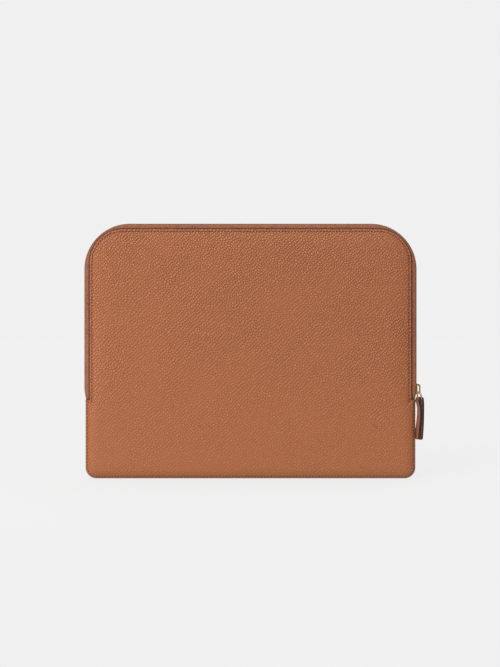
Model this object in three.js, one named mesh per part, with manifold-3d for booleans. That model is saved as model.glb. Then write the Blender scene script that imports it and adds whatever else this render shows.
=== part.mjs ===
// A slim leather laptop sleeve, standing upright on its bottom edge.
//
// Millimetres. X runs across the sleeve, Z runs up and the front faces -Y.
// Two padded leather panels are sewn together along the bottom and the lower sides.
// Above the shoulders a zipped leather gusset joins them. It runs up the left side,
// over the top and down the right side, where the slider and its folded leather pull
// hang when the sleeve is closed. The front half bends open at the shoulder line.
//
// "Inset" is a distance from a panel's cut edge towards its middle, "outset" is the
// same distance outwards, and "depth" is a distance from the middle plane of the sleeve.

import * as THREE from 'three';
import { mergeVertices } from 'three/addons/utils/BufferGeometryUtils.js';
import Module from 'manifold-3d';

const wasm = await Module();
wasm.setup();

const GAP = 0.3;                      // clearance left between pieces that touch

// The sleeve's outline.
const WIDTH = 340;                    // across the zip
const HEIGHT = 260.5;
const ZIP_BAND = 5.6;                 // how far the zip stands out past the panels
const UPPER_HALF_WIDTH = WIDTH / 2 - ZIP_BAND;
const LOWER_HALF_WIDTH = 168.2;       // below the shoulders, where there is no zip
const PANEL_TOP = HEIGHT - ZIP_BAND;
const SHOULDER_HEIGHT = 80;
const TOP_RADIUS = 41;
const BOTTOM_RADIUS = 11;

// The layers of one half, from the outside in.
const LEATHER = 1.4;
const FOAM = 1.5;
const LINING = 0.5;
const BELLY_DEPTH = 11.6;             // outer face of the leather, away from the edges
const SEAM_DEPTH = 2.35;              // outer face at the sewn bottom edge
const GUSSET_EDGE_DEPTH = 7;          // outer face at the edge beside the zip
const ROLL = 16;                      // inset at which a panel reaches its full depth
const LINING_BELLY_DEPTH = BELLY_DEPTH - LEATHER - FOAM - 2 * GAP;
const LINING_SEAM_DEPTH = GAP / 2 + LINING;
const FOAM_INSETS = [7, 11, ROLL];    // the foam stops short of the seams
const RING_INSETS = [0, 3.5, ...FOAM_INSETS];
const LINING_INSETS = [1, 3.5, ...FOAM_INSETS];

// The gusset and the zip, as sections in [outset, depth].
const GUSSET_LEATHER = 1.2;
const FLANGE = 6;                     // gusset leather under each panel's edge
const FLANGE_DEPTH = 7.7;
const GUSSET_DEPTH = GUSSET_EDGE_DEPTH - LEATHER - GAP;
const LIP_OUTSET = 5;                 // the gusset's turned edge beside the teeth
const LIP_DEPTH = 2.9;
const TAPE = 0.5;
const TAPE_OUTSET = 3.6;
const TAPE_DEPTH = 2.5;
const CHAIN_OUTSET = [3, ZIP_BAND];
const CHAIN_DEPTH = [0.7, 2.2];
const ZIP_START = 82.4;               // height of the zip's two ends
const STOP_HEIGHT = 2.3;

// The slider, its pull and the hinge lines.
const SIDE = UPPER_HALF_WIDTH;        // x of the panel edge on the slider's side
const SLIDER_BOTTOM = 85;
const SLIDER_LENGTH = 12;
const OUTER_PLATE = [SIDE + ZIP_BAND + GAP, SIDE + ZIP_BAND + 1.1];
const INNER_PLATE = [SIDE + 1.7, SIDE + 2.6];
const POST_WIDTH = 0.7;
const POST_LENGTH = 3;
const LINK_WIRE = 1.5;
const LINK_WIDTH = 13.5;              // between the middles of the wires
const LINK_PIVOT = { x: 172.2, z: 88.2 };
const PULL_PIVOT = { x: 173.3, z: 80.7 };
const CROWN_THICKNESS = 1.05;
const CROWN_WIDTH = 3;
const CROWN_BOTTOM = LINK_PIVOT.z - LINK_WIRE / 2 - GAP - CROWN_THICKNESS;
const CROWN_TOP = 96.4;
const CROWN_OUTER = LINK_PIVOT.x + LINK_WIRE / 2 + GAP + CROWN_THICKNESS;
const STRAP = 1.8;
const STRAP_WIDTH = 11;
const STRAP_END = 42;                 // height of the pull's free ends
const FOLD_INNER = LINK_WIRE / 2 + GAP;
const FOLD_OUTER = FOLD_INNER + STRAP;

// The pull stands out on one side, so the sleeve moves over to keep the whole centred.
const PULL_REACH = PULL_PIVOT.x + FOLD_OUTER - WIDTH / 2;

const LEATHER_LOOK = { color: 0xa5684a, roughness: 0.62, metalness: 0 };
const GUSSET_LOOK = { color: 0x9a6147, roughness: 0.6, metalness: 0 };
const PULL_LOOK = { color: 0x8a553b, roughness: 0.55, metalness: 0 };
const FOAM_LOOK = { color: 0xd9d2c4, roughness: 0.95, metalness: 0 };
const LINING_LOOK = { color: 0x6b4a38, roughness: 0.9, metalness: 0 };
const TAPE_LOOK = { color: 0x8c6a4f, roughness: 0.9, metalness: 0 };
const BRASS_LOOK = { color: 0xc9a56a, roughness: 0.3, metalness: 1 };

function arcPoints(centreX, centreZ, radius, fromDegrees, toDegrees, steps) {
  return Array.from({ length: steps + 1 }, (_, i) => {
    const angle = THREE.MathUtils.degToRad(fromDegrees + (toDegrees - fromDegrees) * i / steps);
    return { x: centreX + radius * Math.cos(angle), z: centreZ + radius * Math.sin(angle) };
  });
}

// A panel's outline at an inset: the same number of points at every inset. Each point
// knows whether it lies along the sewn seam or beside the zip.
function panelOutline(inset) {
  const lower = LOWER_HALF_WIDTH - inset;
  const upper = UPPER_HALF_WIDTH - inset;
  const bottomRadius = Math.max(BOTTOM_RADIUS - inset, 1);
  const topRadius = TOP_RADIUS - inset;
  const bottomCentre = inset + bottomRadius;
  const topCentre = PANEL_TOP - inset - topRadius;
  const sewn = [
    ...arcPoints(lower - bottomRadius, bottomCentre, bottomRadius, -90, 0, 3),
    { x: lower, z: SHOULDER_HEIGHT - inset },
  ];
  const zipped = [
    { x: upper, z: SHOULDER_HEIGHT - inset },
    ...arcPoints(upper - topRadius, topCentre, topRadius, 0, 90, 7),
  ];
  const right = [
    ...sewn.map((point) => ({ ...point, besideZip: false })),
    ...zipped.map((point) => ({ ...point, besideZip: true })),
  ];
  const left = right.map((point) => ({ ...point, x: -point.x })).reverse();
  return [...right, ...left];
}

// How far a surface has risen from the edge to the belly, from 0 to 1.
function roll(inset) {
  return Math.sin(Math.min(inset / ROLL, 1) * Math.PI / 2);
}

function leatherDepth(besideZip, inset) {
  const edge = besideZip ? GUSSET_EDGE_DEPTH : SEAM_DEPTH;
  return THREE.MathUtils.lerp(edge, BELLY_DEPTH, roll(inset));
}

function liningDepth(besideZip, inset) {
  const underGusset = GUSSET_DEPTH - GUSSET_LEATHER - GAP;
  const edge = besideZip ? underGusset : LINING_SEAM_DEPTH;
  return THREE.MathUtils.lerp(edge, LINING_BELLY_DEPTH, roll(inset));
}

function closedGeometry(positions, triangles) {
  const geometry = new THREE.BufferGeometry();
  geometry.setAttribute('position', new THREE.Float32BufferAttribute(positions, 3));
  geometry.setIndex(triangles);
  geometry.computeVertexNormals();
  return geometry;
}

// A dished sheet between two depths, for the front half (its outside faces -Y).
function dish(insets, outerDepth, innerDepth) {
  const positions = [];
  const triangles = [];
  const rings = insets.map(panelOutline);
  const count = rings[0].length;
  for (const depth of [outerDepth, innerDepth]) {
    rings.forEach((ring, r) => {
      ring.forEach(({ x, z, besideZip }) => positions.push(x, -depth(besideZip, insets[r]), z));
    });
  }
  const innerStart = rings.length * count;
  const quad = (a, b, c, d) => triangles.push(a, b, c, a, c, d);
  for (let i = 0; i < count; i += 1) {
    const next = (i + 1) % count;
    for (let r = 0; r + 1 < rings.length; r += 1) {
      const near = r * count;
      const far = near + count;
      quad(near + i, near + next, far + next, far + i);
      const [nearInner, farInner] = [innerStart + near, innerStart + far];
      quad(nearInner + i, farInner + i, farInner + next, nearInner + next);
    }
    quad(innerStart + i, innerStart + next, next, i);
  }
  const last = rings.length - 1;
  const contour = rings[last].map((point) => new THREE.Vector2(point.x, point.z));
  for (const [a, b, c] of THREE.ShapeUtils.triangulateShape(contour, [])) {
    const cap = last * count;
    triangles.push(cap + a, cap + b, cap + c);
    triangles.push(innerStart + cap + c, innerStart + cap + b, innerStart + cap + a);
  }
  return closedGeometry(positions, triangles);
}

const leatherDish = () => dish(RING_INSETS, leatherDepth, (...place) => leatherDepth(...place) - LEATHER);
const liningDish = () => dish(LINING_INSETS, liningDepth, (...place) => liningDepth(...place) - LINING);
const foamDish = () => dish(
  FOAM_INSETS,
  (...place) => leatherDepth(...place) - LEATHER - GAP,
  (...place) => liningDepth(...place) + GAP,
);

// A section of [outset, depth] points, listed anticlockwise, carried along a path in the
// XZ plane.
function sweep(path, section, closed = false) {
  const positions = [];
  const triangles = [];
  const count = section.length;
  for (const { x, z, normalX, normalZ } of path) {
    for (const [outset, depth] of section) {
      positions.push(x + normalX * outset, -depth, z + normalZ * outset);
    }
  }
  const stations = closed ? path.length : path.length - 1;
  for (let s = 0; s < stations; s += 1) {
    const here = s * count;
    const there = ((s + 1) % path.length) * count;
    for (let i = 0; i < count; i += 1) {
      const next = (i + 1) % count;
      triangles.push(here + i, there + i, there + next, here + i, there + next, here + next);
    }
  }
  if (!closed) {
    const contour = section.map(([outset, depth]) => new THREE.Vector2(outset, depth));
    const end = (path.length - 1) * count;
    for (const [a, b, c] of THREE.ShapeUtils.triangulateShape(contour, [])) {
      triangles.push(a, b, c, end + c, end + b, end + a);
    }
  }
  return outwards(closedGeometry(positions, triangles));
}

// Turns a closed geometry's faces outwards if they point in.
function outwards(original) {
  const geometry = mergedPositions(original);
  const corner = [0, 1, 2].map(() => new THREE.Vector3());
  const position = geometry.getAttribute('position');
  const index = geometry.getIndex().array;
  let volume = 0;
  for (let i = 0; i < index.length; i += 3) {
    corner.forEach((point, k) => point.fromBufferAttribute(position, index[i + k]));
    volume += corner[0].dot(corner[1].clone().cross(corner[2]));
  }
  return volume > 0 ? geometry : flipped(geometry);
}

function flipped(geometry) {
  const index = Array.from(geometry.getIndex().array);
  for (let i = 0; i < index.length; i += 3) {
    [index[i], index[i + 1]] = [index[i + 1], index[i]];
  }
  geometry.setIndex(index);
  geometry.computeVertexNormals();
  return geometry;
}

// The same piece on the back half.
function mirrored(geometry) {
  return flipped(geometry.clone().scale(1, -1, 1));
}

// The panel edge beside the zip, from the slider's end over the top to the other end.
function zipPath(firstEnd, lastEnd) {
  const centreX = UPPER_HALF_WIDTH - TOP_RADIUS;
  const centreZ = PANEL_TOP - TOP_RADIUS;
  const corner = (sign, from, to) => arcPoints(sign * centreX, centreZ, TOP_RADIUS, from, to, 8)
    .map(({ x, z }) => ({
      x,
      z,
      normalX: (x - sign * centreX) / TOP_RADIUS,
      normalZ: (z - centreZ) / TOP_RADIUS,
    }));
  return [
    { x: UPPER_HALF_WIDTH, z: firstEnd, normalX: 1, normalZ: 0 },
    ...corner(1, 0, 90),
    ...corner(-1, 90, 180),
    { x: -UPPER_HALF_WIDTH, z: lastEnd, normalX: -1, normalZ: 0 },
  ];
}

function gussetGeometry() {
  const lipInside = LIP_OUTSET - GUSSET_LEATHER;
  return sweep(zipPath(ZIP_START, ZIP_START), [
    [-FLANGE, FLANGE_DEPTH - GUSSET_LEATHER],
    [0, GUSSET_DEPTH - GUSSET_LEATHER],
    [lipInside, GUSSET_DEPTH - GUSSET_LEATHER],
    [lipInside, LIP_DEPTH],
    [LIP_OUTSET, LIP_DEPTH],
    [LIP_OUTSET - 0.5, GUSSET_DEPTH - 0.9],
    [LIP_OUTSET - 2, GUSSET_DEPTH - 0.2],
    [0, GUSSET_DEPTH],
    [-FLANGE, FLANGE_DEPTH],
  ]);
}

function tapeGeometry() {
  const tuck = GUSSET_DEPTH - GUSSET_LEATHER - GAP;
  return sweep(zipPath(ZIP_START, ZIP_START), [
    [TAPE_OUTSET - TAPE, TAPE_DEPTH],
    [TAPE_OUTSET, TAPE_DEPTH],
    [TAPE_OUTSET, tuck],
    [0.4, tuck],
    [0.4, tuck - TAPE],
    [TAPE_OUTSET - TAPE, tuck - TAPE],
  ]);
}

// One row of teeth, closed up into a bead: the post of the slider runs between the rows.
function chainGeometry() {
  const start = ZIP_START + STOP_HEIGHT + GAP;
  return sweep(zipPath(start, start + STOP_HEIGHT), [
    [CHAIN_OUTSET[0], CHAIN_DEPTH[0]],
    [CHAIN_OUTSET[1], CHAIN_DEPTH[0]],
    [CHAIN_OUTSET[1], CHAIN_DEPTH[1]],
    [CHAIN_OUTSET[0], CHAIN_DEPTH[1]],
  ]);
}

function block(xRange, yRange, zRange) {
  const size = [xRange, yRange, zRange].map(([low, high]) => high - low);
  const centre = [xRange, yRange, zRange].map(([low, high]) => (high + low) / 2);
  return new THREE.BoxGeometry(...size).translate(...centre);
}

function topStopGeometry() {
  const outsets = CHAIN_OUTSET.map((outset) => SIDE + outset);
  const depths = [-CHAIN_DEPTH[1], -CHAIN_DEPTH[0]];
  return block(outsets, depths, [ZIP_START, ZIP_START + STOP_HEIGHT]);
}

function bottomStopGeometry() {
  const outsets = [-SIDE - CHAIN_OUTSET[1], -SIDE - CHAIN_OUTSET[0]];
  const depths = [-CHAIN_DEPTH[1], CHAIN_DEPTH[1]];
  return block(outsets, depths, [ZIP_START + GAP, ZIP_START + 2 * STOP_HEIGHT - GAP]);
}

// A slider plate: wide at the mouth, rounded at both ends, seen along X.
function plateGeometry(xRange, mouthHalfWidth, tailHalfWidth) {
  const top = SLIDER_BOTTOM + SLIDER_LENGTH;
  const outline = new THREE.Shape();
  outline.moveTo(-mouthHalfWidth + 1, SLIDER_BOTTOM);
  outline.lineTo(mouthHalfWidth - 1, SLIDER_BOTTOM);
  outline.quadraticCurveTo(mouthHalfWidth, SLIDER_BOTTOM, mouthHalfWidth, SLIDER_BOTTOM + 2);
  outline.lineTo(tailHalfWidth, top - 2);
  outline.quadraticCurveTo(tailHalfWidth, top, 0, top);
  outline.quadraticCurveTo(-tailHalfWidth, top, -tailHalfWidth, top - 2);
  outline.lineTo(-mouthHalfWidth, SLIDER_BOTTOM + 2);
  outline.quadraticCurveTo(-mouthHalfWidth, SLIDER_BOTTOM, -mouthHalfWidth + 1, SLIDER_BOTTOM);
  const options = { depth: xRange[1] - xRange[0], bevelEnabled: false, curveSegments: 4 };
  return new THREE.ExtrudeGeometry(outline, options)
    .rotateX(Math.PI / 2)
    .rotateZ(Math.PI / 2)
    .translate(xRange[0], 0, 0);
}

function sliderGeometry() {
  const post = block(
    [INNER_PLATE[0] + 0.2, OUTER_PLATE[1] - 0.2],
    [-POST_WIDTH / 2, POST_WIDTH / 2],
    [SLIDER_BOTTOM + 1, SLIDER_BOTTOM + 1 + POST_LENGTH],
  );
  const outer = plateGeometry(OUTER_PLATE, 4.2, 3.2);
  const inner = plateGeometry(INNER_PLATE, 2.5, 2.1);
  return geometryOf(solidOf(outer).add(solidOf(inner)).add(solidOf(post)));
}

// The bail on the slider's outer plate that the link hangs in.
function crownGeometry() {
  const foot = OUTER_PLATE[1] + GAP;
  const ease = 2;
  const inner = CROWN_OUTER - CROWN_THICKNESS;
  const outline = new THREE.Shape();
  outline.moveTo(foot, CROWN_BOTTOM);
  outline.lineTo(CROWN_OUTER - ease, CROWN_BOTTOM);
  outline.quadraticCurveTo(CROWN_OUTER, CROWN_BOTTOM, CROWN_OUTER, CROWN_BOTTOM + ease);
  outline.lineTo(CROWN_OUTER, CROWN_TOP - ease);
  outline.quadraticCurveTo(CROWN_OUTER, CROWN_TOP, CROWN_OUTER - ease, CROWN_TOP);
  outline.lineTo(foot, CROWN_TOP);
  outline.lineTo(foot, CROWN_TOP - CROWN_THICKNESS);
  outline.lineTo(inner - 1, CROWN_TOP - CROWN_THICKNESS);
  outline.quadraticCurveTo(inner, CROWN_TOP - CROWN_THICKNESS, inner, CROWN_TOP - ease);
  outline.lineTo(inner, CROWN_BOTTOM + ease);
  outline.quadraticCurveTo(inner, CROWN_BOTTOM + CROWN_THICKNESS, inner - 1, CROWN_BOTTOM + CROWN_THICKNESS);
  outline.lineTo(foot, CROWN_BOTTOM + CROWN_THICKNESS);
  return acrossSleeve(outline, CROWN_WIDTH);
}

// An outline drawn in X and Z, as wide as given in Y and centred on the middle plane.
function acrossSleeve(outline, width) {
  return new THREE.ExtrudeGeometry(outline, { depth: width, bevelEnabled: false, curveSegments: 6 })
    .rotateX(Math.PI / 2)
    .translate(0, width / 2, 0);
}

// The oblong wire link between the crown and the folded pull.
function linkGeometry() {
  const height = Math.hypot(PULL_PIVOT.x - LINK_PIVOT.x, PULL_PIVOT.z - LINK_PIVOT.z);
  const radius = 2;
  const reach = LINK_WIDTH / 2 - radius;
  const rise = height / 2 - radius;
  const corners = [[1, 1, 0], [-1, 1, 90], [-1, -1, 180], [1, -1, 270]];
  const path = corners.flatMap(([signX, signZ, from]) => {
    const centreX = signX * reach;
    const centreZ = signZ * rise;
    return arcPoints(centreX, centreZ, radius, from, from + 90, 4).map(({ x, z }) => ({
      x,
      z,
      normalX: (x - centreX) / radius,
      normalZ: (z - centreZ) / radius,
    }));
  });
  const section = arcPoints(0, 0, LINK_WIRE / 2, 0, 315, 7).map(({ x, z }) => [x, z]);
  return sweep(path, section, true).rotateZ(Math.PI / 2);
}

// A leather strap folded over the link, with both ends hanging level.
function pullGeometry() {
  const { x, z } = PULL_PIVOT;
  const outline = new THREE.Shape();
  outline.moveTo(x + FOLD_OUTER, STRAP_END);
  outline.lineTo(x + FOLD_OUTER, z);
  outline.absarc(x, z, FOLD_OUTER, 0, Math.PI, false);
  outline.lineTo(x - FOLD_OUTER, STRAP_END);
  outline.lineTo(x - FOLD_INNER, STRAP_END);
  outline.lineTo(x - FOLD_INNER, z);
  outline.absarc(x, z, FOLD_INNER, Math.PI, 0, true);
  outline.lineTo(x + FOLD_INNER, STRAP_END);
  return acrossSleeve(outline, STRAP_WIDTH);
}

function mergedPositions(geometry) {
  const bare = geometry.clone();
  bare.deleteAttribute('normal');
  bare.deleteAttribute('uv');
  return mergeVertices(bare);
}

function solidOf(geometry) {
  const merged = mergedPositions(geometry);
  return new wasm.Manifold(new wasm.Mesh({
    numProp: 3,
    vertProperties: merged.getAttribute('position').array,
    triVerts: merged.getIndex().array,
  }));
}

function geometryOf(solid) {
  const mesh = solid.getMesh();
  return closedGeometry(Array.from(mesh.vertProperties), Array.from(mesh.triVerts));
}

// The part of a front layer above or below the line where the sleeve bends open.
function halfOfFront(geometry, above) {
  const heights = above
    ? [SHOULDER_HEIGHT + GAP / 2, HEIGHT]
    : [-1, SHOULDER_HEIGHT - GAP / 2];
  const keep = block([-WIDTH, WIDTH], [-2 * BELLY_DEPTH, 0], heights);
  return geometryOf(solidOf(geometry).intersect(solidOf(keep)));
}

const sleeve = new THREE.Group();
sleeve.position.x = -PULL_REACH / 2;

function addPiece(name, geometry, look) {
  const mesh = new THREE.Mesh(geometry, new THREE.MeshStandardMaterial(look));
  mesh.name = name;
  sleeve.add(mesh);
  return mesh;
}

const layers = [
  ['panel', leatherDish, LEATHER_LOOK],
  ['padding', foamDish, FOAM_LOOK],
  ['lining', liningDish, LINING_LOOK],
];
for (const [name, layerGeometry, look] of layers) {
  const front = layerGeometry();
  addPiece(`front_${name}_lower`, halfOfFront(front, false), look);
  addPiece(`front_${name}_upper`, halfOfFront(front, true), look);
  addPiece(`back_${name}`, mirrored(front), look);
}

const zipPieces = [
  ['gusset', gussetGeometry, GUSSET_LOOK],
  ['zip_tape', tapeGeometry, TAPE_LOOK],
  ['zip_teeth', chainGeometry, BRASS_LOOK],
  ['zip_top_stop', topStopGeometry, BRASS_LOOK],
];
for (const [name, pieceGeometry, look] of zipPieces) {
  const front = outwards(pieceGeometry());
  addPiece(`front_${name}`, front, look);
  addPiece(`rear_${name}`, mirrored(front), look);
}

addPiece('zip_bottom_stop', bottomStopGeometry(), BRASS_LOOK);
addPiece('zip_slider', sliderGeometry(), BRASS_LOOK);
addPiece('slider_crown', outwards(crownGeometry()), BRASS_LOOK);

const link = addPiece('pull_link', linkGeometry(), BRASS_LOOK);
link.position.set((LINK_PIVOT.x + PULL_PIVOT.x) / 2, 0, (LINK_PIVOT.z + PULL_PIVOT.z) / 2);
link.rotation.y = -Math.atan2(PULL_PIVOT.x - LINK_PIVOT.x, LINK_PIVOT.z - PULL_PIVOT.z);

addPiece('leather_pull', outwards(pullGeometry()), PULL_LOOK);

export default sleeve;
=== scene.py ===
"""A slim padded leather laptop sleeve, standing on its bottom edge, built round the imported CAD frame."""

import math

import bmesh
import bpy
import numpy as np
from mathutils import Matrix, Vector, noise


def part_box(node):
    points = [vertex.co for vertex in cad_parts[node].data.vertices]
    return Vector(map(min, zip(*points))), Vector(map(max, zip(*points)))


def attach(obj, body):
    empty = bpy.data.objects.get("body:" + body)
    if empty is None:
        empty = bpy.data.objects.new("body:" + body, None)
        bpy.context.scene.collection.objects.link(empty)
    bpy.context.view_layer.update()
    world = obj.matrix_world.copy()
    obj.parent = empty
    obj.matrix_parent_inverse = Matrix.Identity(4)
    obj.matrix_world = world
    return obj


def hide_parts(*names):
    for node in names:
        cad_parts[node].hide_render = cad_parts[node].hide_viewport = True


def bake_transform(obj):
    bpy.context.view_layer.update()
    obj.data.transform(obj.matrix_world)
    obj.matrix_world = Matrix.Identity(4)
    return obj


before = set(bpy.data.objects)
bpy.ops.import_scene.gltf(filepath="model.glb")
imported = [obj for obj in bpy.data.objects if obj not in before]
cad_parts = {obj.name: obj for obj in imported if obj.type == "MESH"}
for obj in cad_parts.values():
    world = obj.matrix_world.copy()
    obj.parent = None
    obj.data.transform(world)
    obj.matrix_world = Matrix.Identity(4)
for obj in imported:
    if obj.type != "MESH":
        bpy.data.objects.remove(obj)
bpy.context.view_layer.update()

MM = 0.001


def node_box(node):
    """A CAD node's lowest and highest corners, in millimetres, with X from the sleeve's middle."""
    low, high = (np.array(corner, float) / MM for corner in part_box(node))
    low[0] -= MID_X
    high[0] -= MID_X
    return low, high


# Sizes read from the frame, in millimetres. X is measured from the middle of the sleeve.
MID_X = sum(corner[0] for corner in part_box("back_panel")) / 2 / MM
BACK = node_box("back_panel")[1]
FLAP_LOW, FLAP_HIGH = node_box("front_panel_upper")
TEETH_HIGH = node_box("rear_zip_teeth")[1]
GUSSET_LOW = node_box("rear_gusset")[0]
LOWER_HALF = BACK[0]
UPPER_HALF = FLAP_HIGH[0]
PANEL_TOP = BACK[2]
BELLY = BACK[1]
SHOULDER = FLAP_LOW[2]
ZIP_OUT = TEETH_HIGH[0] - UPPER_HALF
ZIP_START = GUSSET_LOW[2]

# Sizes that the looks add, in millimetres.
TOP_RADIUS = 41             # of the zip, the padding and the lining at the top corners
PANEL_RADIUS = 34           # of the outer leather there, which comes nearly to the outside of the gusset
BOTTOM_RADIUS = 11
LEAST_RADIUS = 0.6          # of a bottom corner, well in from the edge
SHOULDER_RADII = (1.6, 0.8)  # of the shoulder's outer corner and its inner one
LEATHER = 1.4
LINING_THICK = 0.48
EDGE_PAINT = 1.3            # how wide the painted bevel of the cut edge is
PAINT_INSET = 0.5           # inset at which the paint starts. It reaches past the CAD edge from there.
PAINT_ROUND = 0.97          # share of the leather's thickness that the bevel takes off
SEAM_SPREAD = 0.5           # how far the sewn side seams stand past the CAD edge
SEAM_DEPTH = 2.35           # of the leather's outer face at its edge, along the sewn seam
ZIP_EDGE_DEPTH = 7          # the same beside the zip
GUSSET_SPACE = 3.2          # from the leather's outer face to the lining, beside the zip
SEAM_SPACE = 1.7            # the same just inside the sewn seam
SEAM_LEAST = (0.55, 0.5)    # in the seam itself, how near the middle the leather and the lining come
SEAM_GAP = 0.04             # between the two panels' edges along the sewn seam
SEAM_HOLDS = (2.5, 9)       # the seam holds the layers to the first inset, and frees them by the second
BELLY_SPACE = 3.5           # the same over the padding
ROLL = 21                   # inset at which a panel is nearly flat
ZIP_POWER = 2.3             # how quickly a panel rises, beside the zip and along the sewn seam
SEAM_POWER = 5.6
SLIMMER = 1.8               # how much less deep a panel is at the bottom than beside the zip
GROOVE_DEPTH = 0.5          # how far the stitches pull the leather in
GROOVE_WIDTH = 0.75
CROWN = 0.7                 # how much the middle of a panel swells past the CAD face
SWELL_MIDDLE = 130          # height of the middle of that swelling
SWELL_HALF = (150, 118)     # how far it reaches sideways, and up and down
WAVE_HEIGHT = 0.35          # the slight unevenness of the hide, and the size of its waves
WAVE_SIZE = (55, 48)
STEP_FADE = 24              # how far above and below the shoulder its step is smoothed out
STEP_ENDS = (42, 30)        # that smoothing fades in between these distances from the shoulder,
STEP_INSETS = (1.5, 8)      # between these insets,
STEP_SIDES = (130, 140)     # and between these half widths
FOAM_START = 7              # inset at which the padding begins
FOAM_GAP = 0.2              # between the padding and the layers beside it
FOAM_EDGE = 0.5             # how much the padding thins out at its edge
STRIP_START = 77.5          # height at which the strips beside the zip come out from between the panels
STITCH_INSETS = (1.9, 2.75)  # along the sewn seam, and beside the zip
STITCH_LIFT = (-0.02, 0.14)  # how far the stitches stand out of their groove, in the same two places
STITCH_PITCH = 3.25
STITCH_SIZE = (2.6, 1.0, 0.55)  # length, width and height
STITCH_SLANT = math.radians(9)
GUSSET_STITCH = (4.8, 3.6)  # outset and depth of the stitching that holds the gusset to the tape
GUSSET_STITCH_START = 8     # how far above the gusset's ends that stitching starts
TOOTH_PITCH = 2.12
TOOTH_HALF = 0.53
TEETH_STARTS = (4.6, 6.6)   # how far above the gusset's two ends the teeth start, the slider's end first
STOP_TRIM = 1.3             # how much shorter a stop is, to stay inside the strips beside the zip


# ---------------------------------------------------------------- outlines

def arc(centre, radius, from_deg, to_deg, count):
    """Points on an arc in the XZ plane, the last one left for the next stretch to start with."""
    angles = np.radians(np.linspace(from_deg, to_deg, count, endpoint=False))
    return np.column_stack([centre[0] + radius * np.cos(angles), centre[1] + radius * np.sin(angles)])


def line(start, end, count):
    """Points on a straight stretch, the last one left out in the same way."""
    share = np.linspace(0, 1, count, endpoint=False)[:, None]
    return np.array(start) * (1 - share) + np.array(end) * share


def panel_outline(inset, radius=TOP_RADIUS):
    """A panel's outline at an inset, anticlockwise from the middle of the bottom edge.

    An inset below 0 reaches out beside the zip and along the shoulders only.
    """
    low = max(inset, 0)
    lower, upper = LOWER_HALF - max(inset, -SEAM_SPREAD), UPPER_HALF - inset
    bottom_r = max(BOTTOM_RADIUS - low, LEAST_RADIUS)
    top_r = radius - inset
    step_out, step_in = max(SHOULDER_RADII[0] - low, 0.2), SHOULDER_RADII[1] + 0.5 * low
    shoulder, top = SHOULDER - inset, PANEL_TOP - inset
    step_in = min(step_in, (lower - upper) - step_out - 0.1) if inset < 3 else 1.2
    right = np.vstack([
        line((0, low), (lower - bottom_r, low), 70),
        arc((lower - bottom_r, low + bottom_r), bottom_r, -90, 0, 12),
        line((lower, low + bottom_r), (lower, shoulder - step_out), 36),
        arc((lower - step_out, shoulder - step_out), step_out, 0, 90, 6),
        arc((upper + step_in, shoulder + step_in), step_in, 270, 180, 6),
        line((upper, shoulder + step_in), (upper, top - top_r), 70),
        arc((upper - top_r, top - top_r), top_r, 0, 90, 44),
        line((upper - top_r, top), (0, top), 60),
    ])
    left = right[1:][::-1] * (-1, 1)
    return np.vstack([right, [(0, top)], left])


def zip_outline(spacing=1.2, first=STRIP_START, last=STRIP_START):
    """The panel edge beside the zip, from the slider's end over the top, with outward normals."""
    centre_x, centre_z = UPPER_HALF - TOP_RADIUS, PANEL_TOP - TOP_RADIUS
    bend = TOP_RADIUS * math.pi / 2
    lengths = [centre_z - first, bend, 2 * centre_x, bend, centre_z - last]
    ends = np.cumsum([0] + lengths)
    along = np.linspace(0, ends[-1], round(ends[-1] / spacing) + 1)
    return np.array([zip_point(s, ends, centre_x, centre_z, first) for s in along]), along


def zip_point(s, ends, centre_x, centre_z, first):
    """(x, z, normal x, normal z) at a distance s along the zip."""
    if s <= ends[1]:
        return UPPER_HALF, first + s, 1, 0
    if s >= ends[4]:
        return -UPPER_HALF, centre_z - (s - ends[4]), -1, 0
    if ends[2] <= s <= ends[3]:
        return centre_x - (s - ends[2]), PANEL_TOP, 0, 1
    side = 1 if s < ends[2] else -1
    turned = (s - ends[1]) / TOP_RADIUS if side > 0 else math.pi / 2 + (s - ends[3]) / TOP_RADIUS
    normal = (math.cos(turned), math.sin(turned))
    return side * centre_x + TOP_RADIUS * normal[0], centre_z + TOP_RADIUS * normal[1], *normal


# ---------------------------------------------------------------- depths

def smooth(low, high, value):
    """0 below low and 1 above high, or the other way round when high is the lower one."""
    share = np.clip((value - low) / (high - low), 0, 1)
    return share * share * (3 - 2 * share)


def beside_zip(z, inset):
    """0 along the sewn seam and 1 beside the zip, changing over at the shoulder."""
    return smooth(SHOULDER - 3 - 1.2 * inset, SHOULDER + 1.5 + 0.6 * inset, z)


def roll(inset, power=ZIP_POWER):
    """How far a panel has risen from its edge to its belly."""
    return 1 - (1 - np.clip(inset / ROLL, 0, 1)) ** power


def side_inset(ring, inset):
    """The inset, without the step at the shoulders once it is some way in from the edge."""
    x, z = ring.T
    half = LOWER_HALF + (UPPER_HALF - LOWER_HALF) * smooth(SHOULDER - STEP_FADE, SHOULDER + STEP_FADE, z)
    near = smooth(*STEP_ENDS, abs(z - SHOULDER)) * smooth(*STEP_INSETS, inset) * smooth(*STEP_SIDES, abs(x))
    return inset + (half - abs(x) - inset) * near


def swell(x, z):
    """The soft rise of the middle of a panel, with the slight unevenness of real hide."""
    half_width, half_height = SWELL_HALF
    dome = np.clip(1 - (x / half_width) ** 2, 0, 1)
    dome = dome * np.clip(1 - ((z - SWELL_MIDDLE) / half_height) ** 2, 0, 1)
    waves = [noise.noise(Vector((a / WAVE_SIZE[0], b / WAVE_SIZE[1], 3.7))) for a, b in zip(x, z)]
    return CROWN * dome ** 0.6 + WAVE_HEIGHT * np.array(waves) * dome ** 0.3


def panel_edge(z, inset):
    """Depth of the leather's outer face at its edge."""
    return SEAM_DEPTH + (ZIP_EDGE_DEPTH - SEAM_DEPTH) * beside_zip(z, inset)


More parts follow.
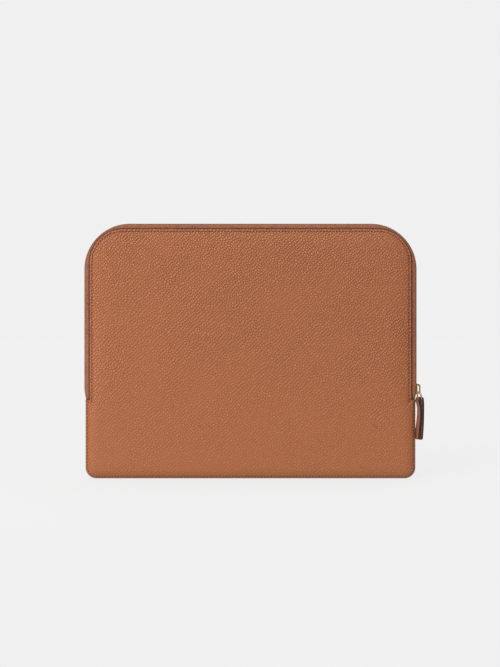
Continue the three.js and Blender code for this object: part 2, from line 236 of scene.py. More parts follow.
def between(pair, share):
    """The value at a share of the way from the first of a pair to the second."""
    return pair[0] + (pair[1] - pair[0]) * share


def leather_rise(ring, inset):
    """Depth of the leather before its edge is finished and its seam is sewn."""
    x, z = ring.T
    edge, beside = panel_edge(z, inset), beside_zip(z, inset)
    risen = roll(side_inset(ring, inset), SEAM_POWER + (ZIP_POWER - SEAM_POWER) * beside)
    belly = BELLY - SLIMMER * smooth(110, 0, z)
    return edge + (belly - edge) * risen + swell(x, z) * roll(inset - 3)


def leather_outer(ring, inset):
    """Depth of the leather's outer face, with its painted edge and the pull of the stitches."""
    beside = beside_zip(ring[:, 1], inset)
    groove = np.exp(-((inset - between(STITCH_INSETS, beside)) / GROOVE_WIDTH) ** 2)
    depth = leather_rise(ring, inset) - GROOVE_DEPTH * groove
    if inset < PAINT_INSET:
        share = (PAINT_INSET - inset) / EDGE_PAINT
        round_over = 1 - math.sqrt(1 - share ** 2)
        depth -= PAINT_ROUND * LEATHER * (beside * round_over + (1 - beside) * share ** 2)
    return depth


def held(ring, inset, depth, least):
    """A depth drawn in to its least along the sewn seam, where the layers are stitched together."""
    free = np.maximum(beside_zip(ring[:, 1], inset), smooth(*SEAM_HOLDS, inset))
    return least + (depth - least) * free


def leather_inner(ring, inset):
    """Depth of the leather's inner face. Along the sewn seam its edge closes on the other panel's."""
    depth = held(ring, inset, leather_rise(ring, inset) - LEATHER, SEAM_LEAST[0])
    closed = (1 - beside_zip(ring[:, 1], inset)) * smooth(PAINT_INSET, 0, inset)
    return depth + (SEAM_GAP / 2 - depth) * closed


def lining_outer(ring, inset):
    space = between((SEAM_SPACE, GUSSET_SPACE), beside_zip(ring[:, 1], inset))
    depth = leather_rise(ring, inset) - space - (BELLY_SPACE - space) * roll(inset)
    return held(ring, inset, depth, SEAM_LEAST[1])


def lining_inner(ring, inset):
    return lining_outer(ring, inset) - LINING_THICK


def foam_outer(ring, inset):
    return leather_inner(ring, inset) - FOAM_GAP - FOAM_EDGE * (1 - roll((inset - FOAM_START) * 3))


def foam_inner(ring, inset):
    return lining_outer(ring, inset) + FOAM_GAP


# ---------------------------------------------------------------- mesh helpers

def make_object(name, vertices, faces, materials, slots=None, smooth_angle=40):
    """A mesh object from vertices in millimetres, with X from the middle of the sleeve."""
    mesh = bpy.data.meshes.new(name)
    points = (np.asarray(vertices, float) + (MID_X, 0, 0)) * MM
    mesh.from_pydata(points.tolist(), [], [list(map(int, face)) for face in faces])
    for material in materials:
        mesh.materials.append(material)
    if slots is not None:
        mesh.polygons.foreach_set("material_index", np.asarray(slots, np.int32))
    work = bmesh.new()
    work.from_mesh(mesh)
    bmesh.ops.remove_doubles(work, verts=work.verts, dist=1e-7)
    bmesh.ops.recalc_face_normals(work, faces=work.faces)
    work.to_mesh(mesh)
    work.free()
    mesh.shade_smooth()
    mesh.set_sharp_from_angle(angle=math.radians(smooth_angle))
    obj = bpy.data.objects.new(name, mesh)
    bpy.context.scene.collection.objects.link(obj)
    return obj


def tube_faces(stations, count, wrap_stations=False):
    """Quads over stations of count points each, every station a closed loop."""
    last = stations if wrap_stations else stations - 1
    here = np.repeat(np.arange(last), count) * count
    there = np.repeat((np.arange(last) + 1) % stations, count) * count
    a = np.tile(np.arange(count), last)
    b = np.tile((np.arange(count) + 1) % count, last)
    return np.column_stack([here + a, there + a, there + b, here + b])


def capped(faces, stations, count):
    """The faces of an open tube, with one more over each end."""
    end = (stations - 1) * count
    return [*faces.tolist(), list(range(count)), list(range(end, end + count))]


PAINTED_INSETS = (PAINT_INSET - EDGE_PAINT, -0.77, -0.6, -0.25, 0.1, PAINT_INSET)
OUTER_INSETS = (*PAINTED_INSETS, 0.8, 1.2, 1.6, 1.9, 2.25, 2.65, 3, 3.4, 3.8, 4.4, 5.2, 6.5,
                8, 10, 12.5, 15, 18, 21, 26, 33)
INNER_INSETS = (0, 0.5, 1, 2, 4, 7, 10, 15, 21, 33)
FILLS = (0.12, 0.26, 0.42, 0.6, 0.78, 0.93)


def filled_ring(share, radius):
    """The outline's last inset ring, drawn in towards a line across the middle."""
    ring = panel_outline(OUTER_INSETS[-1], radius)
    spine = np.column_stack([ring[:, 0] * 0.35, np.full(len(ring), PANEL_TOP / 2)])
    return ring * (1 - share) + spine * share


def surface(insets, start, depth, radius):
    """Rings of a dished surface, from its edge to its middle."""
    kept = [inset for inset in insets if inset >= start]
    if start > 0 and kept[0] > start:
        kept.insert(0, start)
    rings = [(panel_outline(inset, radius), inset) for inset in kept]
    rings += [(filled_ring(share, radius), OUTER_INSETS[-1]) for share in FILLS]
    return [np.column_stack([ring[:, 0], depth(ring, inset), ring[:, 1]]) for ring, inset in rings]


def dish(name, outer, inner, materials, front, start=PAINTED_INSETS[0], rim_slot=0, radius=TOP_RADIUS):
    """A closed dished sheet between two depths.

    Its rim may have materials of its own: the rim slot beside the zip and the next along the seam.
    """
    inside = surface(INNER_INSETS, start, inner, radius)[::-1]
    outside = surface(OUTER_INSETS, start, outer, radius)
    painted = len(PAINTED_INSETS) if rim_slot else 0
    stations = np.array(inside + outside)
    stations[:, :, 1] *= -1 if front else 1
    count = stations.shape[1]
    faces = capped(tube_faces(len(stations), count), len(stations), count)
    slots = np.zeros(len(faces), int)
    rim = len(inside) - 1
    heights = stations[rim:rim + painted, :, 2].ravel()
    slots[rim * count:(rim + painted) * count] = np.where(heights > SHOULDER, rim_slot, rim_slot + 1)
    return make_object(name, stations.reshape(-1, 3), faces, materials, slots, 60)


def zip_strip(name, section, material, front):
    """A closed section of (outset, depth) points swept along the zip, tucked in at its ends."""
    path, along = zip_outline()
    reach = np.minimum(along, along[-1] - along)
    rings = []
    for (x, z, nx, nz), distance in zip(path, reach):
        outset, depth = np.array(section, float).T
        outset = np.where(outset > 0, outset * (0.68 + 0.32 * smooth(0, 14, distance)), outset)
        depth = depth * (0.55 + 0.45 * smooth(0, 8, distance))
        rings.append(np.column_stack([x + nx * outset, depth, z + nz * outset]))
    stations = np.array(rings)
    stations[:, :, 1] *= -1 if front else 1
    faces = capped(tube_faces(len(stations), len(section)), len(stations), len(section))
    return make_object(name, stations.reshape(-1, 3), faces, [material], None, 50)


def copies(name, template, template_faces, frames, material, smooth_angle):
    """One mesh of many copies of a template, one for each (origin, 3x3 axes) frame."""
    vertices, faces = [], []
    for origin, axes in frames:
        start = len(vertices) * len(template)
        vertices.append(template @ axes + origin)
        faces += [[start + corner for corner in face] for face in template_faces]
    return make_object(name, np.vstack(vertices), faces, [material], None, smooth_angle)


def stitch_shape():
    """A stitch: a short plump run of thread whose ends dip into the leather."""
    stations, sides = 7, 8
    length, width, height = STITCH_SIZE
    angles = np.linspace(0, 2 * math.pi, sides, endpoint=False)
    rings = []
    for share in np.linspace(-1, 1, stations):
        size = max(math.sqrt(1 - share ** 4), 0.12)
        ring = np.column_stack([
            np.full(sides, share * length / 2),
            width / 2 * size * np.cos(angles),
            height * (size * np.sin(angles) * 0.6 - 0.55 * share ** 2),
        ])
        rings.append(ring)
    return np.vstack(rings), capped(tube_faces(stations, sides), stations, sides)


def evenly(points, pitch, closed):
    """Places and directions at an even pitch along a polyline in 3D."""
    loop = np.vstack([points, points[:1]]) if closed else points
    steps = np.linalg.norm(np.diff(loop, axis=0), axis=1)
    along = np.concatenate([[0], np.cumsum(steps)])
    count = int(along[-1] / pitch)
    at = (np.arange(count) + 0.5) * along[-1] / count
    place = np.column_stack([np.interp(at, along, loop[:, k]) for k in range(3)])
    ahead = np.column_stack([np.interp(at + 0.5, along, loop[:, k]) for k in range(3)])
    behind = np.column_stack([np.interp(at - 0.5, along, loop[:, k]) for k in range(3)])
    way = ahead - behind
    return place, way / np.linalg.norm(way, axis=1)[:, None]


def seam(name, points, outwards, material, closed=True):
    """A row of slanted stitches along a line of points, each standing up along outwards."""
    places, ways = evenly(points, STITCH_PITCH, closed)
    ups = outwards(places)
    ups -= (ups * ways).sum(axis=1)[:, None] * ways
    ups /= np.linalg.norm(ups, axis=1)[:, None]
    frames = []
    for place, way, up in zip(places, ways, ups):
        turned = way * math.cos(STITCH_SLANT) + np.cross(up, way) * math.sin(STITCH_SLANT)
        frames.append((place, np.array([turned, np.cross(up, turned), up])))
    return copies(name, *stitch_shape(), frames, material, 60)


# ---------------------------------------------------------------- materials

class Nodes:
    """The node tree of a material or the world, with short ways to add and join nodes."""

    def __init__(self, owner, shader="Principled BSDF"):
        self.owner = owner
        owner.use_nodes = True
        self.tree = owner.node_tree
        self.shader = self.tree.nodes[shader]

    def add(self, kind, inputs=None, **settings):
        """A new node with its inputs and settings."""
        node = self.tree.nodes.new(kind)
        for key, value in settings.items():
            setattr(node, key, value)
        for key, value in (inputs or {}).items():
            self.join(node.inputs[key], value)
        return node

    def join(self, socket, value):
        """Sets a socket to a value, or links a node's output to it."""
        if isinstance(value, bpy.types.NodeSocket):
            self.tree.links.new(value, socket)
        else:
            socket.default_value = value

    def set(self, **values):
        """Sets the shader's sockets, or joins nodes to them."""
        for key, value in values.items():
            self.join(self.shader.inputs[key.replace("_", " ")], value)

    def place(self, scale=(1, 1, 1)):
        """The point on the piece, in metres, stretched by scale."""
        coordinates = self.add("ShaderNodeTexCoord").outputs["Object"]
        return self.add("ShaderNodeMapping", {"Vector": coordinates, "Scale": scale}).outputs["Vector"]

    def noise(self, scale, detail, at=None):
        inputs = {"Vector": at or self.place(), "Scale": scale, "Detail": detail, "Roughness": 0.55}
        return self.add("ShaderNodeTexNoise", inputs).outputs["Fac"]

    def ramp(self, factor, *stops):
        """A colour or grey ramp through (position, colour) stops."""
        node = self.add("ShaderNodeValToRGB", {"Fac": factor})
        while len(node.color_ramp.elements) < len(stops):
            node.color_ramp.elements.new(0.5)
        for element, (position, colour) in zip(node.color_ramp.elements, stops):
            element.position = position
            element.color = (*colour, 1)
        return node.outputs["Color"]

    def mix(self, factor, a, b, blend="MIX"):
        node = self.add("ShaderNodeMix", data_type="RGBA", blend_type=blend)
        for index, value in ((0, factor), (6, a), (7, b)):
            self.join(node.inputs[index], value)
        return node.outputs[2]

    def math(self, operation, a, b):
        return self.add("ShaderNodeMath", {0: a, 1: b}, operation=operation).outputs[0]

    def bump(self, height, distance, strength, normal=None):
        inputs = {"Height": height, "Distance": distance, "Strength": strength}
        if normal:
            inputs["Normal"] = normal
        return self.add("ShaderNodeBump", inputs).outputs["Normal"]


def srgb(red, green, blue):
    """A linear colour from sRGB values of 0 to 255, none of them near black."""
    return tuple(((channel / 255 + 0.055) / 1.055) ** 2.4 for channel in (red, green, blue))


def scaled(colour, factor):
    """A colour made lighter or darker, and no channel over 1."""
    return tuple(min(channel * factor, 1) for channel in colour)


def grey(level):
    return (level, level, level)


def leather(name, colour, pebble, relief=0.0004, roughness=0.52, facing_y=False):
    """Pebbled hide: small crisp grains drawn out on a slant, firmer in some areas than in others.

    A piece that faces along Y has the same grain all through it, so that its grains are even in size.
    The grain is firmest at the top and fades toward the bottom. Its creases are darkened as painted shade
    and its tops lightened as painted highlights.
    """
    n = Nodes(bpy.data.materials.new(name))
    coordinates = n.add("ShaderNodeTexCoord").outputs["Object"]
    place = n.add("ShaderNodeSeparateXYZ", {"Vector": coordinates}).outputs
    slanted = coordinates
    if facing_y:
        facing = n.add("ShaderNodeCombineXYZ", {"X": place["X"], "Y": place["Z"]}).outputs["Vector"]
        slanted = n.add(
            "ShaderNodeMapping", {"Vector": facing, "Rotation": (0, 0, 0.75), "Scale": (1, 1.45, 1)},
            vector_type="TEXTURE",
        ).outputs["Vector"]
    wander = n.add(
        "ShaderNodeTexNoise", {"Vector": slanted, "Scale": 150.0, "Detail": 1.0}).outputs["Color"]
    shift = n.add("ShaderNodeVectorMath", {0: wander, "Scale": 0.0016}, operation="SCALE").outputs[0]
    point = n.add("ShaderNodeVectorMath", {0: slanted, 1: shift}, operation="ADD").outputs[0]
    crease = n.add(
        "ShaderNodeTexVoronoi", {"Vector": point, "Scale": pebble, "Randomness": 0.75},
        feature="DISTANCE_TO_EDGE", voronoi_dimensions="2D" if facing_y else "3D",
    ).outputs["Distance"]
    raised = n.ramp(crease, (0, grey(0)), (0.16, grey(0.6)), (0.42, grey(1)))
    # weaker grain, painted crease shade and painted highlights towards the bottom
    downward_fade = n.add(
        "ShaderNodeMapRange", {"Value": place["Z"], "From Max": 0.15, "To Min": 0.35}).outputs["Result"]
    firmness = n.ramp(n.noise(24.0, 3), (0.36, grey(0.7)), (0.64, grey(1)))
    firmness = n.math("MULTIPLY", firmness, downward_fade)
    base = n.ramp(n.noise(9.0, 3), (0.35, scaled(colour, 0.99)), (0.65, scaled(colour, 1.01)))
    # painted shade in the grain's creases and painted highlights on its tops
    crease_shade_top_highlight = n.ramp(
        crease, (0, (0.22, 0.17, 0.14)), (0.16, (1.12, 1.13, 1.14)), (0.42, (1.52, 1.55, 1.58)))
    base = n.mix(firmness, base, n.mix(1.0, base, crease_shade_top_highlight, "MULTIPLY"))
    height = n.math("MULTIPLY", raised, firmness)
    normal = n.bump(n.noise(2300.0, 2), relief * 0.15, 0.5, n.bump(height, relief, 0.9))
    shine = n.ramp(raised, (0, grey(roughness + 0.14)), (1, grey(roughness - 0.05)))
    n.set(Base_Color=base, Roughness=shine, Normal=normal, Specular_IOR_Level=0.25)
    return n.owner


def edge_paint(name, colour):
    """Burnished edge paint: dark, slightly glossy and a little uneven along the cut."""
    n = Nodes(bpy.data.materials.new(name))
    base = n.ramp(n.noise(420.0, 4), (0.3, scaled(colour, 0.65)), (0.7, scaled(colour, 1.5)))
    n.set(Base_Color=base, Roughness=0.5, Normal=n.bump(n.noise(900.0, 3), 0.00012, 0.6),
          Specular_IOR_Level=0.25)
    return n.owner


def thread(name, colour):
    """Waxed thread with its twist."""
    n = Nodes(bpy.data.materials.new(name))
    waves = n.add(
        "ShaderNodeTexWave",
        {"Vector": n.place((1, 1, 0.8)), "Scale": 420.0, "Distortion": 1.5},
        bands_direction="DIAGONAL",
    ).outputs["Fac"]
    base = n.ramp(waves, (0.1, scaled(colour, 0.6)), (0.6, colour), (1, scaled(colour, 1.25)))
    n.set(Base_Color=base, Roughness=0.55, Normal=n.bump(waves, 0.00012, 0.7), Specular_IOR_Level=0.2)
    return n.owner


def brass(name, roughness, tone):
    """Pale gold plate, with fine handling marks and slightly tarnished patches."""
    n = Nodes(bpy.data.materials.new(name))
    marks = n.noise(2400.0, 3, n.place((1, 1, 0.25)))
    cloud = n.noise(330.0, 3)
    base = n.ramp(
        cloud,
        (0.3, scaled(srgb(186, 146, 88), tone)),
        (0.55, scaled(srgb(222, 186, 126), tone)),
        (0.8, scaled(srgb(238, 210, 158), tone)),
    )
    rough = n.ramp(marks, (0.3, grey(roughness - 0.06)), (0.75, grey(roughness + 0.16)))
    n.set(Base_Color=base, Metallic=1.0, Roughness=rough, Normal=n.bump(marks, 0.00002, 0.35))
    return n.owner


def woven(name, colour):
    """Woven tape: slanted ribs with a little fuzz."""
    n = Nodes(bpy.data.materials.new(name))
    ribs = n.add(
        "ShaderNodeTexWave", {"Vector": n.place(), "Scale": 185.185, "Distortion": 0.6},
        bands_direction="DIAGONAL",
    ).outputs["Fac"]
    fuzz = n.noise(3000.0, 2)
    base = n.mix(0.25, n.ramp(ribs, (0.1, scaled(colour, 0.6)), (0.8, scaled(colour, 1.15))),
                 n.ramp(fuzz, (0.3, grey(0.6)), (0.7, grey(1.2))), "MULTIPLY")
    n.set(Base_Color=base, Roughness=0.85, Normal=n.bump(ribs, 0.0002, 0.8), Sheen_Weight=0.25)
    return n.owner


def brushed_cloth(name, colour):
    """Brushed microfibre lining: a soft nap in drifting directions over a fine weave."""
    n = Nodes(bpy.data.materials.new(name))
    nap = n.noise(46.0, 5, n.place((1, 1, 0.6)))
    fibre = n.noise(1900.0, 3, n.place((1, 1, 0.3)))
    base = n.ramp(nap, (0.3, scaled(colour, 0.78)), (0.7, scaled(colour, 1.18)))
    base = n.mix(0.4, base, n.ramp(fibre, (0.3, grey(0.62)), (0.7, grey(1.2))), "MULTIPLY")
    n.set(Base_Color=base, Roughness=0.92, Normal=n.bump(fibre, 0.00025, 0.6), Sheen_Weight=0.6,
          Sheen_Roughness=0.4)
    return n.owner


def foam(name, colour):
    """Closed-cell foam with its tiny bubbles."""
    n = Nodes(bpy.data.materials.new(name))
    cells = n.add("ShaderNodeTexVoronoi", {"Vector": n.place(), "Scale": 900.0}).outputs["Distance"]
    base = n.ramp(cells, (0.1, scaled(colour, 0.75)), (0.6, colour))
    n.set(Base_Color=base, Roughness=0.95, Normal=n.bump(cells, 0.0003, 0.7))
    return n.owner


PANEL_LEATHER = leather("panel_leather", srgb(147, 88, 54), 490.0, facing_y=True)
GUSSET_LEATHER = leather("gusset_leather", srgb(142, 88, 62), 900.0, 0.00022)
PULL_LEATHER = leather("pull_leather", srgb(184, 112, 76), 1100.0, 0.0001, 0.45)
# Edge paint beside the zip, its darkness partly painted shade for the gap between the panel and the gusset
ZIP_EDGE_PAINT_AND_SHADE = edge_paint("zip_edge_paint_and_gap_shade", srgb(74, 40, 28))
SEAM_EDGE = edge_paint("seam_edge_paint", srgb(122, 72, 46))
PULL_EDGE = edge_paint("pull_edge_paint", srgb(34, 24, 22))
THREAD = thread("saddle_thread", srgb(72, 35, 20))
GUSSET_THREAD = thread("gusset_thread", srgb(120, 74, 52))
# The slider's brass is darkened to 0.66 of the plate's colour as painted shade, for the dark reflections
# its bail should show
BRASS = brass("pale_brass", 0.13, 0.66)
TEETH_BRASS = brass("teeth_brass", 0.32, 0.55)
TAPE = woven("zip_tape", srgb(112, 76, 54))
LINING = brushed_cloth("lining_microfibre", srgb(122, 90, 68))
FOAM = foam("padding_foam", srgb(214, 208, 196))


# ---------------------------------------------------------------- the sleeve's pieces

def rests(piece, front, *nodes, slot):
    """Puts a piece of the back half on the sleeve's body, leaves a piece of the front half where it stands,
    and hides its CAD nodes.
    """
    if front:
        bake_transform(piece)
    else:
        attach(piece, "sleeve_body")
    if nodes:
        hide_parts(*nodes)
    return piece


LEAN = 0.45                 # how far the stitches lean outwards near a panel's edge
LEAN_SIDES = (158, 164)     # half widths and heights between which they start to
LEAN_TOP = (248, 252)
LEAN_FOOT = (6, 3)


def outer_normal(front):
    """Which way a panel's surface faces at a point near its edge: out from the sleeve and sideways."""
    side = -1 if front else 1

    def facing(points):
        x, z = points[:, 0], points[:, 2]
        lean_x = np.sign(x) * LEAN * smooth(*LEAN_SIDES, abs(x))
        lean_z = LEAN * smooth(*LEAN_TOP, z) - LEAN * smooth(*LEAN_FOOT, z)
        return np.column_stack([lean_x, np.full(len(points), side), lean_z])

    return facing


def panel_stitching(name, front):
    """The stitches all round a panel, in the groove of the leather."""
    seam_line, zip_line = (panel_outline(inset, PANEL_RADIUS) for inset in STITCH_INSETS)
    beside = beside_zip(zip_line[:, 1], STITCH_INSETS[1])
    ring = between((seam_line, zip_line), beside[:, None])
    depth = between([leather_outer(ring, inset) for inset in STITCH_INSETS], beside)
    depth += between(STITCH_LIFT, beside)
    points = np.column_stack([ring[:, 0], depth * (-1 if front else 1), ring[:, 1]])
    return seam(name, points, outer_normal(front), THREAD)


# Sections along the zip, as (outset, depth) from the panel's edge and the sleeve's middle.
GUSSET_SECTION = (
    (-6, 7.3), (-3, 6.3), (-1, 5.5), (0, 5.25), (1.5, 5.15), (2.8, 4.9), (4, 4.4), (4.85, 3.7),
    (5.3, 2.9), (5.3, 2.4), (5, 2.15), (4.5, 2.3), (4.1, 2.8), (3.6, 3.3), (2.8, 3.75), (1.5, 3.95),
    (0, 4.05), (-3, 5.1), (-6, 6.3),
)
TAPE_SECTION = (
    (3.1, 1.7), (3.6, 1.7), (3.62, 2.6), (3.3, 3.1), (2.6, 3.4), (0.4, 3.6), (0.4, 3.2), (2.4, 2.95),
    (3, 2.7), (3.1, 2.4),
)


def gusset_stitching(name, front):
    """The topstitch that holds the gusset to the zip tape."""
    start = ZIP_START + GUSSET_STITCH_START
    path = zip_outline(first=start, last=start)[0]
    outset, depth = GUSSET_STITCH
    sign = -1 if front else 1
    x, z, nx, nz = path.T
    points = np.column_stack([x + nx * outset, np.full(len(path), sign * depth), z + nz * outset])

    def facing(places):
        centre_x = np.clip(places[:, 0], TOP_RADIUS - UPPER_HALF, UPPER_HALF - TOP_RADIUS)
        centre_z = np.minimum(places[:, 2], PANEL_TOP - TOP_RADIUS)
        way = np.column_stack([places[:, 0] - centre_x, np.zeros(len(places)), places[:, 2] - centre_z])
        way /= np.linalg.norm(way, axis=1)[:, None]
        return way + np.array([0, 0.6 * sign, 0])

    return seam(name, points, facing, GUSSET_THREAD, closed=False)


# A tooth's outline across the zip, as (depth, outset). Its head reaches past the middle.
TOOTH_PROFILE = (
    (2.35, 3.0), (2.35, 5.1), (1.9, ZIP_OUT), (0.5, ZIP_OUT + 0.05), (-0.5, 5.3), (-0.62, 4.2),
    (-0.4, 3.2), (0.5, 2.9), (1.7, 2.85),
)


def teeth(name, front):
    """One row of metal teeth clamped on the tape. The two rows interlock across the middle."""
    path, along = zip_outline(0.5, *(ZIP_START + start for start in TEETH_STARTS))
    offset = 0 if front else TOOTH_PITCH / 2
    count = int((along[-1] - offset) / TOOTH_PITCH)
    corners = [(end, *point) for end in (-TOOTH_HALF, TOOTH_HALF) for point in TOOTH_PROFILE]
    sides = len(TOOTH_PROFILE)
    faces = capped(tube_faces(2, sides), 2, sides)
    sign = -1 if front else 1
    frames = []
    for s in offset + TOOTH_PITCH * (np.arange(count) + 0.5):
        x, z, nx, nz = (np.interp(s, along, path[:, k]) for k in range(4))
        frames.append((np.array([x, 0, z]), np.array([[-nz, 0, nx], [0, sign, 0], [nx, 0, nz]])))
    return copies(name, np.array(corners), faces, frames, TEETH_BRASS, 25)


def clip(name, low, high, material, bevel=0.35):
    """A small folded metal clip, as a block with every edge rounded."""
    work = bmesh.new()
    bmesh.ops.create_cube(work, size=1)
    size, centre = np.subtract(high, low), np.add(high, low) / 2
    for vertex in work.verts:
        vertex.co = Vector(np.array(vertex.co) * size + centre)
    bmesh.ops.bevel(work, geom=work.edges[:], offset=bevel, segments=3, profile=0.6, affect="EDGES")
    return from_bmesh(name, work, material)


def tucked_stop(node):
    """A stop's corners, a little short of the strips beside the zip."""
    low, high = node_box(node)
    trim = (STOP_TRIM, 0, 0)
    return (low, high - trim) if high[0] > 0 else (low + trim, high)


def from_bmesh(name, work, material):
    work.verts.index_update()
    vertices = [tuple(vertex.co) for vertex in work.verts]
    faces = [[vertex.index for vertex in face.verts] for face in work.faces]
    work.free()
    return make_object(name, vertices, faces, [material])


def prism(name, outline, low, high, across, material, bevel=0.22):
    """An outline extruded from low to high along X ("x") or Y ("y"), with its edges rounded."""
    work = bmesh.new()
    place = {"x": lambda a, b, t: (t, a, b), "y": lambda a, b, t: (a, t, b)}[across]
    base = [work.verts.new(place(a, b, low)) for a, b in outline]
    face = work.faces.new(base)
    moved = bmesh.ops.extrude_face_region(work, geom=[face])["geom"]
    lift = Vector(place(0, 0, high - low))
    for vertex in (item for item in moved if isinstance(item, bmesh.types.BMVert)):
        vertex.co += lift
    bmesh.ops.recalc_face_normals(work, faces=work.faces)
    rims = [edge for edge in work.edges if edge.calc_face_angle(0) > math.radians(50)]
    bmesh.ops.bevel(work, geom=rims, offset=bevel, segments=3, profile=0.6, affect="EDGES")
    return from_bmesh(name, work, material)


def rounded(points, radius):
    """An outline with each corner turned into a short curve."""
    corners = np.array(points, float)
    out = []
    for before, corner, after in zip(np.roll(corners, 1, 0), corners, np.roll(corners, -1, 0)):
        ways = (before - corner, after - corner)
        start, end = (corner + way / np.linalg.norm(way) * radius for way in ways)
        for share in np.linspace(0, 1, 5):
            left = 1 - share
            out.append(start * left ** 2 + corner * 2 * share * left + end * share ** 2)
    return out


def layer_nodes(side, layer):
    """The CAD nodes of a panel's layer. At the front each layer is two solids, so that it can bend."""
    halves = ("_lower", "_upper") if side == "front" else ("",)
    return [f"{side}_{layer}{half}" for half in halves]


def panel_pieces(side):
    """The leather of one side, its padding, its lining and its stitching."""
    front = side == "front"
    # The rim beside the zip takes the dark paint with its painted shade of the gap; the rim along the seam
    # takes the lighter paint
    leathers = [PANEL_LEATHER, ZIP_EDGE_PAINT_AND_SHADE, SEAM_EDGE]
    panel = dish(
        f"{side}_leather", leather_outer, leather_inner, leathers, front, rim_slot=1, radius=PANEL_RADIUS)
    rests(panel, front, *layer_nodes(side, "panel"), slot="panel_leather")
    pad = dish(f"{side}_foam", foam_outer, foam_inner, [FOAM], front, start=FOAM_START)
    rests(pad, front, *layer_nodes(side, "padding"), slot="foam")
    cloth = dish(f"{side}_lining_cloth", lining_outer, lining_inner, [LINING], front, start=1)
    rests(cloth, front, *layer_nodes(side, "lining"), slot="lining")
    rests(panel_stitching(f"{side}_stitching", front), front, slot="panel_leather")


def zip_pieces(side):
    """What runs along one side of the zip: gusset, tape, stitching, teeth and the stop by the slider."""
    front = side == "front"
    strip = zip_strip(f"{side}_gusset_strip", GUSSET_SECTION, GUSSET_LEATHER, front)
    rests(strip, front, f"{side}_gusset", slot="gusset_leather")
    weave = zip_strip(f"{side}_tape_weave", TAPE_SECTION, TAPE, front)
    rests(weave, front, f"{side}_zip_tape", slot="zip_tape")
    rests(gusset_stitching(f"{side}_gusset_stitching", front), front, slot="gusset_leather")
    rests(teeth(f"{side}_teeth_row", front), front, f"{side}_zip_teeth", slot="brass")
    stop = clip(f"{side}_top_clip", *tucked_stop(f"{side}_zip_top_stop"), TEETH_BRASS)
    rests(stop, front, f"{side}_zip_top_stop", slot="brass")


panel_pieces("front")
panel_pieces("back")
zip_pieces("front")
zip_pieces("rear")
bottom_clip = clip("bottom_clip", *tucked_stop("zip_bottom_stop"), TEETH_BRASS)
rests(bottom_clip, False, "zip_bottom_stop", slot="brass")


# ---------------------------------------------------------------- the slider and its pull

SLIDER_LOW, SLIDER_HIGH = node_box("zip_slider")
CROWN_LOW, CROWN_HIGH = node_box("slider_crown")
LINK_LOW, LINK_HIGH = node_box("pull_link")
PULL_LOW, PULL_HIGH = node_box("leather_pull")
PLATE = 0.5                 # thickness of the slider's outer plate, and how far it is set back
PLATE_TAPER = 5             # height at which the plate starts to narrow, towards its top
INNER_SHARE = 0.58          # width of the inner plate against the outer one's
LIP = 0.8                   # how thick and how deep the turned-down lips are
WIRE = 1.5
WIRE_SIDES = 14
LINK_TWIST = math.radians(11)
LINK_CORNER = 2
PULL_TWIST = tuple(map(math.radians, (15, 10)))    # at its ends and at the link
STRAP_HALF = 1.03           # half the thickness of the pull's strap
STRAP_TIP = 4               # length of its rounded tips
STRAP_CUT = 0.6             # how far from its cut ends it thins out
STRAP_EASE = 0.2            # how far its long edges are rounded


def slider_body():
    """The die-cast slider: an outer plate with turned-down lips, an inner plate and the post between."""
    low, high = SLIDER_LOW[2], SLIDER_HIGH[2]
    mouth, tail = SLIDER_HIGH[1], SLIDER_HIGH[1] - 1
    waist = low + PLATE_TAPER
    right = [(mouth, low), (mouth, waist), (tail, high)]
    left = [(-y, z) for y, z in reversed(right)]
    outline = rounded([left[-1], *right, *left[:-1]], 1.1)
    face, back = SLIDER_HIGH[0] - PLATE, SLIDER_LOW[0]
    outer = prism("slider_body", outline, face - PLATE, face, "x", BRASS, 0.18)
    inner_outline = [(y * INNER_SHARE, z) for y, z in outline]
    inner = prism("slider_inner_plate", inner_outline, back, back + 0.9, "x", BRASS)
    post = clip(
        "slider_post", (back + 0.3, -0.45, low + 0.8), (SLIDER_HIGH[0] - 0.3, 0.45, low + 4), BRASS, 0.15)
    lips = [
        clip(f"slider_lip_{word}", (face - 1, start, low + 1.2), (face - 1 + LIP, start + LIP, high - 2),
             BRASS, 0.2)
        for word, start in (("front", -mouth), ("rear", mouth - LIP))
    ]
    return outer, [inner, post, *lips]


def slider_bail():
    """The D-shaped loop over the outer plate, thick above, from which the link hangs."""
    foot, reach = SLIDER_HIGH[0] - 0.7, CROWN_HIGH[0] - 0.3
    low, high = CROWN_LOW[2], CROWN_HIGH[2] + 0.3
    below, beyond, above = 1.3, 1.5, 2.3

    def corner(x, z, radius, from_deg, to_deg):
        return [(x + radius * math.cos(a), z + radius * math.sin(a))
                for a in np.radians(np.linspace(from_deg, to_deg, 7))]

    outside = [(foot, low), *corner(reach - 2.2, low + 2.2, 2.2, -90, 0)]
    outside += [*corner(reach - 2.6, high - 2.6, 2.6, 0, 90), (foot, high)]
    inside = [(foot, high - above), *corner(reach - beyond - 1, high - above - 1, 1, 90, 0)]
    inside += [*corner(reach - beyond - 0.9, low + below + 0.9, 0.9, 0, -90), (foot, low + below)]
    return prism("slider_bail", outside + inside, CROWN_LOW[1], CROWN_HIGH[1], "y", BRASS, 0.5)


